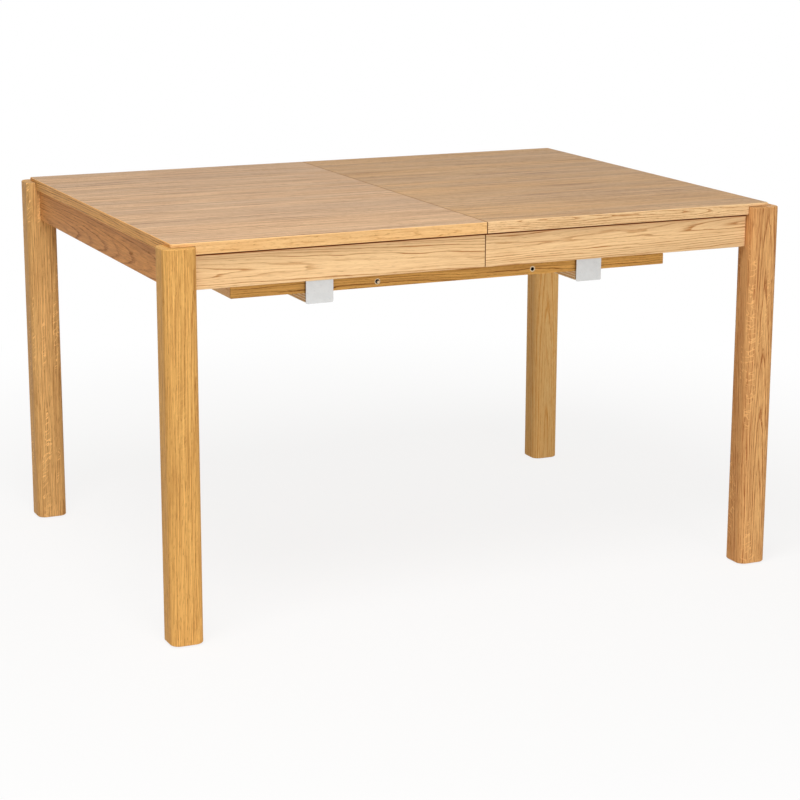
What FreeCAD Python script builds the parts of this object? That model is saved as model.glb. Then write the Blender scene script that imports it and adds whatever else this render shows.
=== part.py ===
import FreeCAD, Part
import math
import os

# Extending oak table with a split top. The two halves of the table slide apart on wooden
# runners, and the loose leaf that fills the opening is stored in a cradle under the top.
# Millimetres. The origin is on the floor at the centre of the closed table, X runs along
# the table, -Y is the front and +Z is up.

Vector = FreeCAD.Vector
UP = Vector(0, 0, 1)
DOWN = Vector(0, 0, -1)

# Overall size of the closed table, over the legs
length = 1292.0
depth = 972.0
height = 750.0

# Legs
leg_side = 64.0
leg_corner_radius = 18.0
leg_proud = 18.0            # a leg stands out this far past the edge of the top
leg_top_drop = 7.0          # leg end below the upper face of the top
leg_end_ease = 1.5
glide_radius = 14.0
glide_thickness = 2.0
glide_ease = 1.0
glide_nail_radius = 1.5
glide_nail_length = 15.0

# Top boards
top_thickness = 22.0
top_corner_radius = 5.0
top_edge_radius = 1.5
seam_edge_radius = 0.8
seam_gap = 1.0              # between the two closed halves
lipping_thickness = 3.0
leg_notch_clearance = 0.8

# Aprons
apron_setback = 8.0         # apron face behind the edge of the top
apron_thickness = 20.0
apron_height = 65.5
apron_end_radius = 4.0
apron_edge_radius = 1.5
shadow_gap = 3.0            # dark line between apron and top
shadow_gap_depth = 10.0

# Dowels between aprons and legs
dowel_radius = 4.0
dowel_length = 40.0
dowel_edge_distance = 9.0   # dowel axis to the lower or upper edge of the apron

# Corner brackets and the bolts that pull the legs in
bracket_thickness = 2.5
bracket_height = 46.0
bracket_flange = 36.0
bracket_leg_gap = 6.0
bolt_radius = 4.0
bolt_grip = 30.0            # threaded into the leg
bolt_tail = 14.0            # past the bracket
bolt_end_ease = 1.0
nut_across_flats = 13.0
nut_height = 6.5
nut_flange_radius = 8.5
nut_flange_thickness = 1.6

# Steel angles that hold the top down on the aprons
angle_leg = 28.0
angle_width = 26.0
angle_thickness = 2.0
angle_seam_distance = 110.0
angle_leg_distance = 112.0
angle_runner_distance = 35.5  # outer angles of an end apron to the fixed runners

# Wood screws: shank radius, length, head radius, head height
frame_screw = (2.0, 16.0, 4.0, 2.4)
runner_screw = (2.25, 44.0, 4.3, 3.0)
hanger_screw = (1.75, 14.0, 3.5, 2.0)
screw_tip = 3.0
screw_point_radius = 0.3
screw_head_round = 1.2
screw_spacing = 16.0        # between two screws in one flange

# Runners: one pair fixed under each half, and a pair in the middle that carries the cradle
runner_width = 32.0
runner_ease = 1.0
fixed_runner_height = 66.0
fixed_runner_seam_gap = 6.0
fixed_runner_end_gap = 10.0
runner_screw_web = 30.0     # wood left above each counterbore
runner_screw_end = 70.0
runner_screw_count = 3
counterbore_radius = 5.5
middle_runner_drop = 16.0   # upper face below the underside of the top
middle_runner_height = 67.0
middle_runner_end_gap = 40.0
tongue_height = 14.0
tongue_length = 11.5
tongue_lift = 8.0           # tongue above the lower face of the fixed runner
peg_radius = 4.0
peg_reach = 8.0
peg_grip = 14.0
peg_end_distance = 30.0
peg_drop = 28.0             # peg axis below the underside of the top
slide_clearance = 0.5

# Loose leaf and its cradle
leaf_width = 668.0
leaf_insert_room = 32.0     # the table opens this much more than the leaf is wide
leaf_runner_gap = 8.0       # stored leaf below the middle runners
leaf_rest_gap = 0.3
leaf_side_clearance = 6.0   # leaf edge to hanger plate
batten_thickness = 18.0
batten_end_gap = 5.0
hanger_width = 56.0
hanger_thickness = 2.0
hanger_offset = 291.0       # hanger centre from the middle of the table
hanger_top_drop = 10.0      # below the upper face of the middle runner
hanger_corner_radius = 3.0
hanger_flange_width = 32.0
hanger_flange_length = 36.0

# Steel pins and bushes that line up the leaf and the two halves
pin_spread = 168.0
pin_radius = 2.8
pin_reach = 5.0
pin_tip_ease = 1.2
bush_bore_radius = 3.0
bush_bore_depth = 9.0
plug_radius = 4.5
plug_length = 20.0
plug_flange_radius = 5.75
plug_flange_thickness = 1.2

# Hook latch that holds the closed halves together
latch_pivot_distance = 40.0  # pivot behind the seam
latch_stud_distance = 25.0   # stud past the seam
latch_width = 16.0
latch_thickness = 3.0
latch_corner_radius = 4.0
latch_gap = 1.0              # hook below the underside of the top
latch_tip = 10.0             # hook past the stud
latch_post_radius = 3.0
latch_head_radius = 6.5
latch_head_height = 2.5
latch_post_grip = 14.0
latch_slot_clearance = 0.4
pivot_clearance = 0.06

# Fits
fit_clearance = 0.05        # screws, bolts and pins in their holes
hole_clearance = 0.4        # screws and bolts through sheet metal
hole_end_clearance = 0.5

# Planes that follow from the sizes above, for the quarter of the table at +X, +Y
half_length = length / 2
half_depth = depth / 2
top_under = height - top_thickness
leg_top = height - leg_top_drop
leg_inner_x = half_length - leg_side
leg_inner_y = half_depth - leg_side
leg_centre_x = half_length - leg_side / 2
leg_centre_y = half_depth - leg_side / 2
top_edge_x = half_length - leg_proud
top_edge_y = half_depth - leg_proud
seam_x = seam_gap / 2
apron_face_x = top_edge_x - apron_setback
apron_face_y = top_edge_y - apron_setback
apron_inner_x = apron_face_x - apron_thickness
apron_inner_y = apron_face_y - apron_thickness
apron_lower = top_under - apron_height

leaf_half_width = leaf_width / 2
leaf_half_length = top_edge_y
hanger_inner_y = leaf_half_width + leaf_side_clearance
middle_outer_y = hanger_inner_y
middle_inner_y = middle_outer_y - runner_width
fixed_outer_y = middle_inner_y - slide_clearance
fixed_inner_y = fixed_outer_y - runner_width
fixed_lower = top_under - fixed_runner_height
fixed_outer_x = apron_inner_x - fixed_runner_end_gap
middle_upper = top_under - middle_runner_drop
middle_lower = middle_upper - middle_runner_height
middle_half = apron_inner_x - middle_runner_end_gap
leaf_upper = middle_lower - leaf_runner_gap
leaf_underside = leaf_upper - top_thickness
tongue_lower = fixed_lower + tongue_lift
end_angle_spread = fixed_inner_y - angle_runner_distance
end_angle_places = (-end_angle_spread, 0, end_angle_spread)
peg_x = middle_half - peg_end_distance
peg_z = top_under - peg_drop
slide_travel = (leaf_width + leaf_insert_room) / 2

batten_top = leaf_underside - leaf_rest_gap
batten_lower = batten_top - batten_thickness
hanger_lower = batten_lower - hanger_thickness
hanger_upper = middle_upper - hanger_top_drop
hanger_outer_y = hanger_inner_y + hanger_thickness
top_middle = height - top_thickness / 2
leaf_middle = leaf_underside + top_thickness / 2

# Inner corner of a leg on its diagonal, and the bracket across it
diagonal_in = Vector(-1, -1, 0).normalize()
leg_corner_reach = (leg_side / 2 - leg_corner_radius) * math.sqrt(2) + leg_corner_radius
bracket_reach = leg_corner_reach + bracket_leg_gap
bracket_line = leg_centre_x + leg_centre_y - bracket_reach * math.sqrt(2)
bracket_x = bracket_line - apron_inner_y
bracket_y = bracket_line - apron_inner_x
bracket_middle = top_under - apron_height / 2
bolt_length = bolt_grip + bracket_leg_gap + bracket_thickness + bolt_tail
dowel_heights = (apron_lower + dowel_edge_distance, top_under - dowel_edge_distance)
bolt_spacing = (dowel_heights[1] - dowel_heights[0]) / 2
bolt_heights = (bracket_middle - bolt_spacing / 2, bracket_middle + bolt_spacing / 2)

SIDES = {"left": -1, "right": 1}
FACES = {"front": -1, "back": 1}


def box(x0, x1, y0, y1, z0, z1):
    return Part.makeBox(x1 - x0, y1 - y0, z1 - z0, Vector(x0, y0, z0))


def rod(start, direction, radius, reach):
    return Part.makeCylinder(radius, reach, start, direction)


def join(shapes):
    return shapes[0].fuse(shapes[1:]).removeSplitter().Solids[0]


def drill(shape, holes):
    return shape.cut(holes).Solids[0]


def middle_of(edge):
    return edge.valueAt((edge.FirstParameter + edge.LastParameter) / 2)


def pick(shape, test):
    """Edges of a shape whose middle point passes a test."""
    return [edge for edge in shape.Edges if test(middle_of(edge))]


def round_edges(shape):
    return [edge for edge in shape.Edges if edge.Closed]


def same(a, b):
    return abs(a - b) < 1e-4


def eased_box(x0, x1, y0, y1, z0, z1, ease):
    block = box(x0, x1, y0, y1, z0, z1)
    return block.makeChamfer(ease, block.Edges)


def rounded_prism(x0, x1, y0, y1, z0, z1, radius):
    block = box(x0, x1, y0, y1, z0, z1)
    upright = pick(block, lambda m: z0 < m.z < z1)
    return block.makeFillet(radius, upright)


def extrude(points, direction):
    outline = Part.makePolygon(points + points[:1])
    return Part.Face(outline).extrude(direction)


def mirrored(shape, side, face=1):
    """Carries a shape from the +X, +Y quarter to another half or quarter."""
    if side < 0:
        shape = shape.mirror(Vector(0, 0, 0), Vector(1, 0, 0))
    if face < 0:
        shape = shape.mirror(Vector(0, 0, 0), Vector(0, 1, 0))
    return shape


def both_faces(shape):
    return [mirrored(shape, 1, face) for face in FACES.values()]


def screw(seat, direction, sizes):
    """Pan head screw. The seat is the point under its head, on the screw's axis."""
    radius, reach, head_radius, head_height = sizes
    head = rod(seat, direction * -1, head_radius, head_height)
    top_rim = [edge for edge in round_edges(head) if (edge.CenterOfMass - seat).Length > head_height / 2]
    head = head.makeFillet(screw_head_round, top_rim)
    shank = rod(seat, direction, radius, reach - screw_tip)
    tip_base = seat + direction * (reach - screw_tip)
    tip = Part.makeCone(radius, screw_point_radius, screw_tip, tip_base, direction)
    return join([head, shank, tip])


def pilot(seat, direction, sizes):
    radius, reach = sizes[:2]
    return rod(seat, direction, radius + fit_clearance, reach + hole_end_clearance)


def sheet_hole(seat, direction, sizes, thickness):
    return rod(seat, direction, sizes[0] + hole_clearance, thickness)


# Places of the fasteners in the quarter at +X, +Y: seat and direction of each

def bracket_screw_seats():
    z = bracket_middle
    spots = []
    for along in (bracket_flange / 2 - screw_spacing / 2, bracket_flange / 2 + screw_spacing / 2):
        side_seat = Vector(bracket_x - along, apron_inner_y - bracket_thickness, z)
        end_seat = Vector(apron_inner_x - bracket_thickness, bracket_y - along, z)
        spots.append((side_seat, Vector(0, 1, 0)))
        spots.append((end_seat, Vector(1, 0, 0)))
    return spots


def side_angle_places():
    return (angle_seam_distance, leg_inner_x - angle_leg_distance)


def side_angle_seats():
    spots = []
    for x in side_angle_places():
        middle = angle_leg / 2 + angle_thickness / 2
        spots.append((Vector(x, apron_inner_y - angle_thickness, top_under - middle), Vector(0, 1, 0)))
        spots.append((Vector(x, apron_inner_y - middle, top_under - angle_thickness), UP))
    return spots


def end_angle_seats():
    spots = []
    for y in end_angle_places:
        middle = angle_leg / 2 + angle_thickness / 2
        spots.append((Vector(apron_inner_x - angle_thickness, y, top_under - middle), Vector(1, 0, 0)))
        spots.append((Vector(apron_inner_x - middle, y, top_under - angle_thickness), UP))
    return spots


def runner_screw_seats():
    first = fixed_runner_seam_gap + runner_screw_end
    last = fixed_outer_x - runner_screw_end
    step = (last - first) / (runner_screw_count - 1)
    y = (fixed_inner_y + fixed_outer_y) / 2
    z = top_under - runner_screw_web
    return [(Vector(first + step * i, y, z), UP) for i in range(runner_screw_count)]


def hanger_plate_seats():
    upper = hanger_upper - screw_spacing
    lower = middle_lower + screw_spacing
    across = (hanger_offset - screw_spacing, hanger_offset + screw_spacing)
    return [(Vector(x, hanger_outer_y, z), Vector(0, -1, 0)) for x in across for z in (lower, upper)]


def hanger_flange_seats():
    y = hanger_inner_y - hanger_flange_length / 2 - batten_end_gap / 2
    across = (hanger_offset - screw_spacing / 2, hanger_offset + screw_spacing / 2)
    return [(Vector(x, y, hanger_lower), UP) for x in across]


def bolt_starts():
    base = Vector(leg_centre_x, leg_centre_y, 0) + diagonal_in * (leg_corner_reach - bolt_grip)
    return [base + UP * z for z in bolt_heights]


def dowel_starts():
    """Inner end and direction of each dowel, from apron to leg."""
    apron_middle_x = apron_face_x - apron_thickness / 2
    apron_middle_y = apron_face_y - apron_thickness / 2
    starts = []
    for z in dowel_heights:
        starts.append((Vector(leg_inner_x - dowel_length / 2, apron_middle_y, z), Vector(1, 0, 0)))
        starts.append((Vector(apron_middle_x, leg_inner_y - dowel_length / 2, z), Vector(0, 1, 0)))
    return starts


def dowel_holes():
    holes = []
    for start, along in dowel_starts():
        mouth = start - along * hole_end_clearance
        holes.append(rod(mouth, along, dowel_radius + fit_clearance, dowel_length + 2 * hole_end_clearance))
    return holes


# Legs

def leg_outline(grow, z0, z1):
    return rounded_prism(
        leg_inner_x - grow, half_length + grow, leg_inner_y - grow, half_depth + grow,
        z0, z1, leg_corner_radius + grow)


def leg():
    post = leg_outline(0, glide_thickness, leg_top)
    ends = pick(post, lambda m: same(m.z, glide_thickness) or same(m.z, leg_top))
    post = post.makeChamfer(leg_end_ease, ends)
    holes = dowel_holes()
    for start in bolt_starts():
        mouth = start - diagonal_in * hole_end_clearance
        holes.append(rod(mouth, diagonal_in, bolt_radius + fit_clearance, leg_side))
    nail_base = Vector(leg_centre_x, leg_centre_y, glide_thickness)
    nail_depth = glide_nail_length + hole_end_clearance
    holes.append(rod(nail_base, UP, glide_nail_radius + fit_clearance, nail_depth))
    return drill(post, holes)


def glide():
    base = Vector(leg_centre_x, leg_centre_y, 0)
    disc = rod(base, UP, glide_radius, glide_thickness)
    rim = [edge for edge in round_edges(disc) if same(edge.CenterOfMass.z, 0)]
    disc = disc.makeChamfer(glide_ease, rim)
    nail = rod(base + UP * glide_thickness, UP, glide_nail_radius, glide_nail_length)
    return join([disc, nail])


# Boards with lippings: the two halves of the top, and the leaf

def pin_plug(mouth, outward):
    """Flanged pin let into a board's edge. The mouth lies on the edge, outward leaves the board."""
    flange = rod(mouth - outward * plug_flange_thickness, outward, plug_flange_radius, plug_flange_thickness)
    body = rod(mouth - outward * plug_length, outward, plug_radius, plug_length - plug_flange_thickness)
    nose_length = pin_reach - pin_tip_ease
    nose = rod(mouth, outward, pin_radius, nose_length)
    tip = Part.makeCone(
        pin_radius, pin_radius - pin_tip_ease, pin_tip_ease, mouth + outward * nose_length, outward)
    return join([flange, body, nose, tip])


def bush_plug(mouth, outward):
    flange = rod(mouth - outward * plug_flange_thickness, outward, plug_flange_radius, plug_flange_thickness)
    body = rod(mouth - outward * plug_length, outward, plug_radius, plug_length - plug_flange_thickness)
    bore = rod(mouth, outward * -1, bush_bore_radius, bush_bore_depth)
    return drill(join([flange, body]), [bore])


def plug_hole(mouth, outward):
    flange_radius = plug_flange_radius + fit_clearance
    recess = rod(mouth, outward * -1, flange_radius, plug_flange_thickness)
    deep = rod(mouth, outward * -1, plug_radius + fit_clearance, plug_length + hole_end_clearance)
    return recess.fuse(deep)


def split_lippings(board, inner, split_y):
    """Divides a board into its panel, the lippings along X and the lippings along Y."""
    bounds = board.BoundBox
    ring = board.cut(inner)
    between = box(bounds.XMin, bounds.XMax, -split_y, split_y, bounds.ZMin, bounds.ZMax)
    panel = board.common(inner).Solids[0]
    return panel, ring.cut(between).Solids, ring.common(between).Solids


def seam_plug_mouths():
    """Mouths in the seam edge of the +X half: the pin, then the bush."""
    pin = Vector(seam_x, pin_spread, top_middle)
    bush = Vector(seam_x, -pin_spread, top_middle)
    return pin, bush


def top_board():
    """Half of the top at +X, with its notches, holes and eased edges, before it is divided."""
    board = box(seam_x, top_edge_x, -top_edge_y, top_edge_y, top_under, height)
    corners = pick(board, lambda m: same(m.x, top_edge_x) and top_under < m.z < height)
    board = board.makeFillet(top_corner_radius, corners)
    rims = pick(board, lambda m: m.x > seam_x + seam_gap and (same(m.z, height) or same(m.z, top_under)))
    board = board.makeFillet(top_edge_radius, rims)
    seam_rim = pick(board, lambda m: same(m.x, seam_x))
    board = board.makeFillet(seam_edge_radius, seam_rim)
    notch = leg_outline(leg_notch_clearance, apron_lower, leg_top + leg_notch_clearance)
    holes = both_faces(notch)
    for mouth in seam_plug_mouths():
        holes.append(plug_hole(mouth, Vector(-1, 0, 0)))
    for seat, along in end_angle_seats():
        holes.append(pilot(seat, along, frame_screw))
    for seat, along in side_angle_seats():
        holes += both_faces(pilot(seat, along, frame_screw))
    for seat, along in runner_screw_seats():
        holes += both_faces(pilot(seat, along, runner_screw))
    return board.cut(holes).Solids[0]


def latch_post_hole(x):
    hole_depth = latch_post_grip + hole_end_clearance
    return rod(Vector(x, 0, top_under), UP, latch_post_radius + fit_clearance, hole_depth)


def top_half(latch_x):
    board = top_board().cut(latch_post_hole(latch_x)).Solids[0]
    inner = rounded_prism(
        seam_x + lipping_thickness, top_edge_x - lipping_thickness,
        lipping_thickness - top_edge_y, top_edge_y - lipping_thickness,
        top_under, height, max(top_corner_radius - lipping_thickness, seam_edge_radius))
    return split_lippings(board, inner, top_edge_y - top_corner_radius)


def leaf_plug_mouths():
    """Mouth and outward direction of the pins, then of the bushes, in the long edges of the leaf."""
    pins = []
    bushes = []
    for face in FACES.values():
        outward = Vector(0, face, 0)
        edge_y = leaf_half_width * face
        pins.append((Vector(pin_spread * face, edge_y, leaf_middle), outward))
        bushes.append((Vector(-pin_spread * face, edge_y, leaf_middle), outward))
    return pins, bushes


def leaf_board():
    board = box(
        -leaf_half_length, leaf_half_length, -leaf_half_width, leaf_half_width, leaf_underside, leaf_upper)
    ends = pick(board, lambda m: same(abs(m.x), leaf_half_length) and same(m.y, 0))
    board = board.makeFillet(top_edge_radius, ends)
    mating = pick(board, lambda m: same(abs(m.y), leaf_half_width))
    board = board.makeFillet(seam_edge_radius, mating)
    pins, bushes = leaf_plug_mouths()
    return board.cut([plug_hole(mouth, outward) for mouth, outward in pins + bushes]).Solids[0]


def leaf_pieces():
    edge_x = leaf_half_length - lipping_thickness
    edge_y = leaf_half_width - lipping_thickness
    inner = box(-edge_x, edge_x, -edge_y, edge_y, leaf_underside, leaf_upper)
    return split_lippings(leaf_board(), inner, edge_y)


# Aprons, brackets, angles and their fasteners

def end_apron():
    board = box(apron_inner_x, apron_face_x, -leg_inner_y, leg_inner_y, apron_lower, top_under)
    ends = pick(board, lambda m: same(m.x, apron_face_x) and apron_lower < m.z < top_under)
    board = board.makeFillet(apron_end_radius, ends)
    arris = pick(board, lambda m: same(m.z, apron_lower) and m.x > apron_inner_x + apron_thickness / 2)
    board = board.makeFillet(apron_edge_radius, arris)
    rebate = box(
        apron_face_x - shadow_gap_depth, half_length, -half_depth, half_depth, top_under - shadow_gap, height)
    holes = [rebate]
    for seat, along in end_angle_seats():
        holes.append(pilot(seat, along, frame_screw))
    for hole in dowel_holes():
        holes += both_faces(hole)
    for seat, along in bracket_screw_seats():
        holes += both_faces(pilot(seat, along, frame_screw))
    return drill(board, holes)


def side_apron():
    board = box(seam_x, leg_inner_x, apron_inner_y, apron_face_y, apron_lower, top_under)
    leg_end = pick(board, lambda m: same(m.x, leg_inner_x) and same(m.y, apron_face_y))
    board = board.makeFillet(apron_end_radius, leg_end)
    arris = pick(board, lambda m: same(m.z, apron_lower) and m.y > apron_inner_y + apron_thickness / 2)
    board = board.makeFillet(apron_edge_radius, arris)
    seam_end = pick(board, lambda m: same(m.x, seam_x) and m.y > apron_inner_y + apron_thickness / 2)
    board = board.makeFillet(seam_edge_radius, seam_end)
    rebate = box(0, half_length, apron_face_y - shadow_gap_depth, half_depth, top_under - shadow_gap, height)
    holes = [rebate] + dowel_holes()
    for seat, along in side_angle_seats() + bracket_screw_seats():
        holes.append(pilot(seat, along, frame_screw))
    return drill(board, holes)


def corner_bracket():
    """Steel strip across the corner, its ends bent flat along the two aprons."""
    lower = bracket_middle - bracket_height / 2
    bend = bracket_thickness * math.tan(math.pi / 8)
    inner_y = apron_inner_y - bracket_thickness
    inner_x = apron_inner_x - bracket_thickness
    outline = [
        (bracket_x - bracket_flange, apron_inner_y),
        (bracket_x, apron_inner_y),
        (apron_inner_x, bracket_y),
        (apron_inner_x, bracket_y - bracket_flange),
        (inner_x, bracket_y - bracket_flange),
        (inner_x, bracket_y - bend),
        (bracket_x - bend, inner_y),
        (bracket_x - bracket_flange, inner_y),
    ]
    strip = extrude([Vector(x, y, lower) for x, y in outline], UP * bracket_height)
    holes = [sheet_hole(seat, along, frame_screw, bracket_thickness) for seat, along in bracket_screw_seats()]
    for start in bolt_starts():
        holes.append(rod(start, diagonal_in, bolt_radius + hole_clearance, bolt_length))
    return drill(strip, holes)


def leg_bolt(start):
    shaft = rod(start, diagonal_in, bolt_radius, bolt_length)
    return shaft.makeChamfer(bolt_end_ease, round_edges(shaft))


def leg_nut(start):
    seat = start + diagonal_in * (bolt_grip + bracket_leg_gap + bracket_thickness)
    corner_radius = nut_across_flats / math.sqrt(3)
    across = Vector(1, -1, 0).normalize()
    points = []
    for i in range(6):
        turn = math.radians(60 * i + 30)
        points.append(seat + (across * math.cos(turn) + UP * math.sin(turn)) * corner_radius)
    hexagon = extrude(points, diagonal_in * (nut_flange_thickness + nut_height))
    flange = rod(seat, diagonal_in, nut_flange_radius, nut_flange_thickness)
    bore = rod(start, diagonal_in, bolt_radius + fit_clearance, bolt_length)
    return drill(join([hexagon, flange]), [bore])


def angle_section(u, along):
    """Angle profile in the corner of apron and top: u maps inward and down distances to a point."""
    reach = [
        (0, 0), (angle_leg, 0), (angle_leg, angle_thickness), (angle_thickness, angle_thickness),
        (angle_thickness, angle_leg), (0, angle_leg)]
    return extrude([u(inward, down) for inward, down in reach], along * angle_width)


def side_angles():
    pieces = []
    for x in side_angle_places():
        start = x - angle_width / 2
        profile = angle_section(
            lambda inward, down: Vector(start, apron_inner_y - inward, top_under - down), Vector(1, 0, 0))
        pieces.append(profile)
    return [drill_angle(piece, side_angle_seats()) for piece in pieces]


def end_angles():
    pieces = []
    for y in end_angle_places:
        start = y - angle_width / 2
        profile = angle_section(
            lambda inward, down: Vector(apron_inner_x - inward, start, top_under - down), Vector(0, 1, 0))
        pieces.append(profile)
    return [drill_angle(piece, end_angle_seats()) for piece in pieces]


def drill_angle(piece, seats):
    return drill(piece, [sheet_hole(seat, along, frame_screw, angle_thickness) for seat, along in seats])


# Runners and the cradle that hangs from the middle pair

def fixed_runner():
    bar = eased_box(
        fixed_runner_seam_gap, fixed_outer_x, fixed_inner_y, fixed_outer_y,
        fixed_lower, top_under, runner_ease)
    tongue = box(
        fixed_runner_seam_gap + runner_ease, fixed_outer_x - runner_ease,
        fixed_outer_y - tongue_length, fixed_outer_y + tongue_length,
        tongue_lower, tongue_lower + tongue_height)
    bar = join([bar, tongue])
    slot_radius = peg_radius + slide_clearance
    slot_depth = peg_reach + slide_clearance
    floor_y = fixed_outer_y - slot_depth
    slot = box(peg_x - slide_travel, peg_x, floor_y, fixed_outer_y, peg_z - slot_radius, peg_z + slot_radius)
    holes = [slot]
    for x in (peg_x - slide_travel, peg_x):
        holes.append(rod(Vector(x, floor_y, peg_z), Vector(0, 1, 0), slot_radius, slot_depth))
    for seat, along in runner_screw_seats():
        holes.append(rod(seat, DOWN, counterbore_radius, fixed_runner_height))
        holes.append(sheet_hole(seat, along, runner_screw, runner_screw_web))
    return drill(bar, holes)


def middle_runner():
    bar = eased_box(
        -middle_half, middle_half, middle_inner_y, middle_outer_y, middle_lower, middle_upper, runner_ease)
    groove = box(
        -half_length, half_length, middle_inner_y - slide_clearance,
        middle_inner_y + tongue_length, tongue_lower - slide_clearance,
        tongue_lower + tongue_height + slide_clearance)
    holes = [groove]
    for side in SIDES.values():
        peg_mouth = Vector(peg_x * side, middle_inner_y, peg_z)
        peg_depth = peg_grip + hole_end_clearance
        holes.append(rod(peg_mouth, Vector(0, 1, 0), peg_radius + fit_clearance, peg_depth))
        for seat, along in hanger_plate_seats():
            holes.append(mirrored(pilot(seat, along, hanger_screw), side))
    return drill(bar, holes)


def stop_peg():
    start = Vector(peg_x, middle_inner_y - peg_reach, peg_z)
    return rod(start, Vector(0, 1, 0), peg_radius, peg_reach + peg_grip)


def leaf_batten():
    batten_half = hanger_inner_y - batten_end_gap
    x0 = hanger_offset - hanger_width / 2
    x1 = hanger_offset + hanger_width / 2
    bar = eased_box(x0, x1, -batten_half, batten_half, batten_lower, batten_top, runner_ease)
    holes = []
    for seat, along in hanger_flange_seats():
        holes += both_faces(pilot(seat, along, hanger_screw))
    return drill(bar, holes)


def leaf_hanger():
    """Flat steel plate down the side of the middle runner, turned in under the batten."""
    x0 = hanger_offset - hanger_width / 2
    x1 = hanger_offset + hanger_width / 2
    plate = box(x0, x1, hanger_inner_y, hanger_outer_y, hanger_lower, hanger_upper)
    corners = pick(plate, lambda m: not same(m.x, hanger_offset) and hanger_inner_y < m.y < hanger_outer_y)
    plate = plate.makeFillet(hanger_corner_radius, corners)
    flange = box(
        hanger_offset - hanger_flange_width / 2, hanger_offset + hanger_flange_width / 2,
        hanger_inner_y - hanger_flange_length, hanger_outer_y, hanger_lower, batten_lower)
    holes = [sheet_hole(seat, along, hanger_screw, hanger_thickness)
             for seat, along in hanger_plate_seats() + hanger_flange_seats()]
    return drill(join([plate, flange]), holes)


# Hook latch under the seam

def latch_hook():
    """Flat hook, stored turned away from the seam, with its slot on an arc about the pivot."""
    arm = latch_pivot_distance + latch_stud_distance
    lower = top_under - latch_gap - latch_thickness
    half = latch_width / 2
    pivot = Vector(-latch_pivot_distance, 0, lower)
    bar = box(pivot.x, pivot.x + arm + latch_tip, -half, half, lower, lower + latch_thickness)
    corners = pick(bar, lambda m: m.x > pivot.x + arm and lower < m.z < lower + latch_thickness)
    bar = bar.makeFillet(latch_corner_radius, corners)
    hub = rod(pivot, UP, half, latch_thickness)
    slot_half = latch_post_radius + latch_slot_clearance
    outer = rod(pivot, UP, arm + slot_half, latch_thickness)
    ring = outer.cut(rod(pivot, UP, arm - slot_half, latch_thickness))
    mouth = ring.common(box(0, arm, -latch_width, 0, lower, lower + latch_thickness))
    seat = rod(pivot + Vector(arm, 0, 0), UP, slot_half, latch_thickness)
    bore = rod(pivot, UP, latch_post_radius + pivot_clearance, latch_thickness)
    hook = drill(join([bar, hub]), [mouth, seat, bore])
    hook.rotate(pivot, UP, 90)
    return hook


def latch_post(x):
    """Steel post in the underside of the top with a head below the hook."""
    neck = Vector(x, 0, top_under - 2 * latch_gap - latch_thickness)
    shank = rod(neck, UP, latch_post_radius, 2 * latch_gap + latch_thickness + latch_post_grip)
    head = rod(neck, DOWN, latch_head_radius, latch_head_height)
    return join([head, shank])


# Whole table, piece by piece

def half_pieces(name, side):
    """Every piece of one half, mirrored into place from the +X half."""
    latch_x = latch_stud_distance if side > 0 else latch_pivot_distance
    panel, side_lippings, end_lippings = top_half(latch_x)
    pin_mouth, bush_mouth = seam_plug_mouths()
    toward_seam = Vector(-1, 0, 0)
    bolts = [leg_bolt(start) for start in bolt_starts()]
    nuts = [leg_nut(start) for start in bolt_starts()]
    dowels = [rod(start, along, dowel_radius, dowel_length) for start, along in dowel_starts()]
    runner_screws = [screw(seat, along, runner_screw) for seat, along in runner_screw_seats()]
    paired_seats = bracket_screw_seats() + side_angle_seats()
    paired_screws = [screw(seat, along, frame_screw) for seat, along in paired_seats]
    end_screws = [screw(seat, along, frame_screw) for seat, along in end_angle_seats()]

    def pairs(shapes):
        return [copy for shape in shapes for copy in both_faces(shape)]

    pieces = {
        "top_panel": [panel],
        "top_side_lippings": side_lippings,
        "top_end_lippings": end_lippings,
        "end_apron": [end_apron()],
        "leg_glides": pairs([glide()]),
        "apron_dowels": pairs(dowels),
        "corner_brackets": pairs([corner_bracket()]),
        "leg_bolts": pairs(bolts),
        "leg_nuts": pairs(nuts),
        "top_angles": pairs(side_angles()) + end_angles(),
        "frame_screws": pairs(paired_screws) + end_screws,
        "runner_screws": pairs(runner_screws),
        "seam_pin": [pin_plug(pin_mouth, toward_seam)],
        "seam_bush": [bush_plug(bush_mouth, toward_seam)],
    }
    for face_name, face in FACES.items():
        pieces[face_name + "_leg"] = [mirrored(leg(), 1, face)]
        pieces[face_name + "_apron"] = [mirrored(side_apron(), 1, face)]
        pieces[face_name + "_runner"] = [mirrored(fixed_runner(), 1, face)]
    turned = {}
    for piece, shapes in pieces.items():
        # The pin of one half faces the bush of the other, so the left half turns half round
        if piece in ("seam_pin", "seam_bush", "top_panel", "top_end_lippings", "top_side_lippings"):
            turned[name + "_" + piece] = [mirrored(shape, side, side) for shape in shapes]
        else:
            turned[name + "_" + piece] = [mirrored(shape, side) for shape in shapes]
    return turned


def cradle_pieces():
    hanger_seats = hanger_plate_seats() + hanger_flange_seats()
    screws = [screw(seat, along, hanger_screw) for seat, along in hanger_seats]
    pieces = {"stop_pegs": [], "hanger_screws": []}
    for face_name, face in FACES.items():
        pieces[face_name + "_middle_runner"] = [mirrored(middle_runner(), 1, face)]
    for side_name, side in SIDES.items():
        pieces[side_name + "_leaf_batten"] = [mirrored(leaf_batten(), side)]
        for face_name, face in FACES.items():
            pieces[side_name + "_" + face_name + "_leaf_hanger"] = [mirrored(leaf_hanger(), side, face)]
            pieces["stop_pegs"].append(mirrored(stop_peg(), side, face))
            pieces["hanger_screws"] += [mirrored(item, side, face) for item in screws]
    return pieces


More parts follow.
